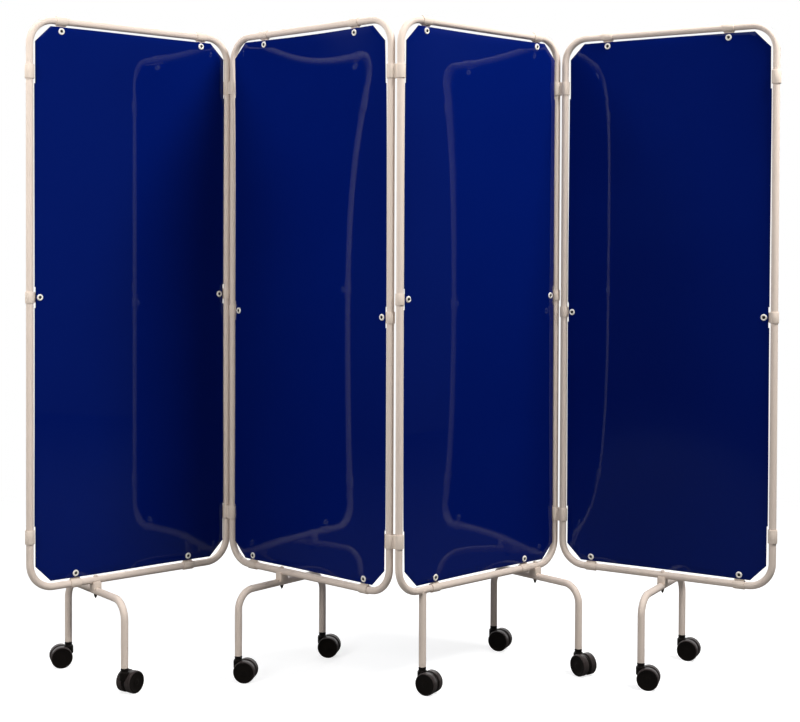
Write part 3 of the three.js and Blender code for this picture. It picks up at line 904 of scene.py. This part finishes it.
# ---------------------------------------------------------------------------
# Saddles and leg bolts. A moulded block fits between rail and crossbar, hollowed for both. One
# bolt runs down through all three, with a domed cream head on the rail and a pointed black cap
# below.
# ---------------------------------------------------------------------------
saddle_along = 0.021
saddle_across = 0.024
saddle_top = bottom_rail - 0.003
saddle_base = crossbar + 0.003
saddle_chamfer = 0.003
saddle_rim = 0.0007
saddle_bore = tube_radius + 0.0002
cutter_length = 0.06
bolt_head_seat = bottom_rail + tube_radius
bolt_cap_seat = crossbar - tube_radius
head_profile = [
    (0, 0.0034), (0.0024, 0.0031), (0.0044, 0.0022), (0.0055, 0.0012), (0.0060, 0.0006),
    (0.0060, -0.0002), (0.0030, -0.0004),
]
cap_profile = [
    (0.0030, 0.0004), (0.0046, 0.0002), (0.0047, -0.0010), (0.0041, -0.0014), (0.0039, -0.0030),
    (0.0031, -0.0058), (0.0018, -0.0086), (0.0008, -0.0098), (0, -0.0101),
]
bolt_profile = [(radius, bolt_head_seat + height) for radius, height in head_profile]
bolt_profile += [(radius, bolt_cap_seat + height) for radius, height in cap_profile]


def seat_cutter(height, turn_about_z):
    """A cutter for the round seat of a tube that lies level through the saddle."""
    seat = bmesh.new()
    bmesh.ops.create_cone(
        seat, cap_ends=True, segments=64, radius1=saddle_bore, radius2=saddle_bore,
        depth=cutter_length,
        matrix=put((0, 0, height), turn_about_z) @ Matrix.Rotation(math.pi / 2, 4, "Y"),
    )
    return seat


block = bmesh.new()
bmesh.ops.create_cube(block, size=1)
block_size = (saddle_along, saddle_across, saddle_top - saddle_base)
bmesh.ops.scale(block, vec=block_size, verts=block.verts)
bmesh.ops.translate(block, vec=(0, 0, (saddle_top + saddle_base) / 2), verts=block.verts)
ease(block, edges_square_to(0, edges_on(block, 2, saddle_top)), saddle_chamfer, segments=1)
ease(block, block.edges[:], saddle_rim)
saddle_shape = carve(block, [seat_cutter(bottom_rail, 0), seat_cutter(crossbar, math.pi / 2)])

for number, place_of_panel in panel_place.items():
    seat = place_of_panel @ put((leg_place[number], 0, 0))
    saddle = finish_piece(
        saddle_shape.copy(), f"moulded_saddle_{number}", seat, f"panel_{number}",
        "cream_plastic", cream_moulding,
    )
    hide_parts(f"panel_{number}_leg_saddle")
    bolt = turned(bolt_profile, 32)
    for face in bolt.faces:
        face.material_index = 1 if face.calc_center_median().z > bottom_rail else 0
    bolt_piece = finish_piece(
        bolt, f"leg_bolt_{number}", seat, f"panel_{number}", "dark_steel",
        dark_steel, cream_enamel,
    )
    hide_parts(f"panel_{number}_leg_bolt")
saddle_shape.free()

# ---------------------------------------------------------------------------
# Caster housings. A moulded black neck and shoulder turn under each leg on a steel stem, and
# between the wheels a rounded hood carries the axle. The shoulder is scooped for the wheels.
# ---------------------------------------------------------------------------
wheel_radius = 0.0275
wheel_spacing = 0.027
wheel_trail = 0.019
shoulder_radius = 0.0123
scoop_radius = wheel_radius + 0.0014
scoop_near, scoop_far = 0.0048, 0.024
hood_half = 0.0047
hood_base = 0.011
axle_radius = 0.003
axle_half = 0.0154
shoulder_profile = [
    (0, 0.0327), (0.0100, 0.0327), (0.0123, 0.0350), (shoulder_radius, 0.0505),
    (0.0119, 0.0527), (0.0108, 0.0546), (0.0096, 0.0556), (0.0091, 0.0562), (0.0091, 0.0596),
    (0.0096, 0.0600), (0.0096, 0.0618), (0.0090, 0.0624), (0.0088, 0.0639), (0, 0.0639),
]
hood_profile = [
    (0, -hood_half), (0.0232, -hood_half), (0.0245, -0.0040), (0.0251, -0.0026),
    (0.0251, 0.0026), (0.0245, 0.0040), (0.0232, hood_half), (0, hood_half),
]
axle_profile = [
    (0, -axle_half), (axle_radius, -axle_half), (axle_radius, axle_half), (0, axle_half),
]

# Black plastic: moulded, barely brown, slightly uneven in gloss, with settled dust in its tone
black_moulding, coat, place = start_material("black_moulding")
cloud = add_noise(coat, place, 70.0, 5.0, roughness=0.62)
grain = add_noise(coat, place, 1500.0, 2.0)
tint = blend(coat, cloud, (0.0042, 0.0032, 0.0026, 1), (0.0095, 0.0074, 0.006, 1), "RGBA")
dullness = remap(coat, cloud, (0.3, 0.7), (0.3, 0.46))
lay_coat(coat, tint, dullness, grain, 0.12, 0.0002, {"IOR": 1.45, "Specular IOR Level": 0.3})

on_axle = put((wheel_trail, 0, wheel_radius), -math.pi / 2, "X")
scoops = [turned([
    (0, side * scoop_near), (scoop_radius, side * scoop_near),
    (scoop_radius, side * scoop_far), (0, side * scoop_far),
], 64, on_axle) for side in (-1, 1)]
housing_shape = carve(turned(shoulder_profile, 48), scoops)

hood = turned(hood_profile, 64, on_axle)
bmesh.ops.remove_doubles(hood, verts=hood.verts, dist=merge_gap)
slice_at(hood, (0, 0, hood_base), (0, 0, 1), clear_inner=True)
bmesh.ops.holes_fill(hood, edges=[edge for edge in hood.edges if edge.is_boundary], sides=0)
turn_profile(hood, axle_profile, 24, on_axle)
hood_mesh = bpy.data.meshes.new("hood_template")
hood.to_mesh(hood_mesh)
hood.free()
housing_shape.from_mesh(hood_mesh)
bpy.data.meshes.remove(hood_mesh)

caster_place = {}
for caster in [name.removesuffix("_swivel") for name in joint_place if name.endswith("_swivel")]:
    swivel = joint_place[f"{caster}_swivel"]
    left_roll = joint_place[f"{caster}_wheel_left_roll"]
    right_roll = joint_place[f"{caster}_wheel_right_roll"]
    trail = (left_roll + right_roll) / 2 - swivel
    caster_place[caster] = put((swivel.x, swivel.y, 0), math.atan2(trail.y, trail.x))
    housing = finish_piece(
        housing_shape.copy(), f"{caster}_body", caster_place[caster], caster, "black_plastic",
        black_moulding,
    )
    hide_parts(f"{caster}_housing")
housing_shape.free()

# ---------------------------------------------------------------------------
# Wheels. Two moulded black wheels on each caster, flat outside, each with a raised rim, a sunk
# disc and a small hub cap, and round its edge a slightly softer tread with a shallow groove.
# ---------------------------------------------------------------------------
wheel_half = 0.0085
disc_radius = 0.0243
wheel_profile = [
    (0, 0.0022), (0.0034, 0.0022), (0.0034, -wheel_half), (0.0080, -wheel_half),
    (0.0100, -0.0079), (0.0215, -0.0079), (0.0230, -wheel_half), (0.0257, -wheel_half),
    (0.0268, -0.0080), (0.0274, -0.0070), (wheel_radius, -0.0058), (wheel_radius, 0.0032),
    (0.0271, 0.0036), (0.0269, 0.0041), (0.0271, 0.0046), (0.0275, 0.0051), (0.0274, 0.0064),
    (0.0269, 0.0075), (0.0261, 0.0082), (0.0251, wheel_half), (0.0216, wheel_half),
    (0.0211, 0.0083), (0.0209, 0.0078), (0.0205, 0.0076), (0.0120, 0.0078), (0.0070, 0.0078),
    (0.0066, 0.0080), (0.0062, 0.0083), (0.0030, 0.0084), (0, 0.0084),
]

# Tread: greyer and duller than the disc, scuffed by the floor
black_tread, coat, place = start_material("black_tread_rubber")
cloud = add_noise(coat, place, 120.0, 6.0, roughness=0.7)
tint = blend(coat, cloud, (0.024, 0.018, 0.017, 1), (0.052, 0.041, 0.039, 1), "RGBA")
dullness = remap(coat, cloud, (0.3, 0.7), (0.3, 0.46))
lay_coat(coat, tint, dullness, cloud, 0.2, 0.0003, {"IOR": 1.45, "Specular IOR Level": 0.6})

for caster, place_of_caster in caster_place.items():
    for side, outward in (("left", 1), ("right", -1)):
        name = f"{caster}_wheel_{side}"
        wheel = turned(wheel_profile, 56)
        bmesh.ops.remove_doubles(wheel, verts=wheel.verts, dist=merge_gap)
        for face in wheel.faces:
            on_tread = face.calc_center_median().xy.length > disc_radius
            face.material_index = 1 if on_tread else 0
        axle_end = (wheel_trail, outward * wheel_spacing / 2, wheel_radius)
        wheel_piece = finish_piece(
            wheel, f"{name}_tyre", place_of_caster @ put(axle_end, -outward * math.pi / 2, "X"),
            name, "black_plastic", black_moulding, black_tread, sharp=30,
        )
        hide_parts(name)
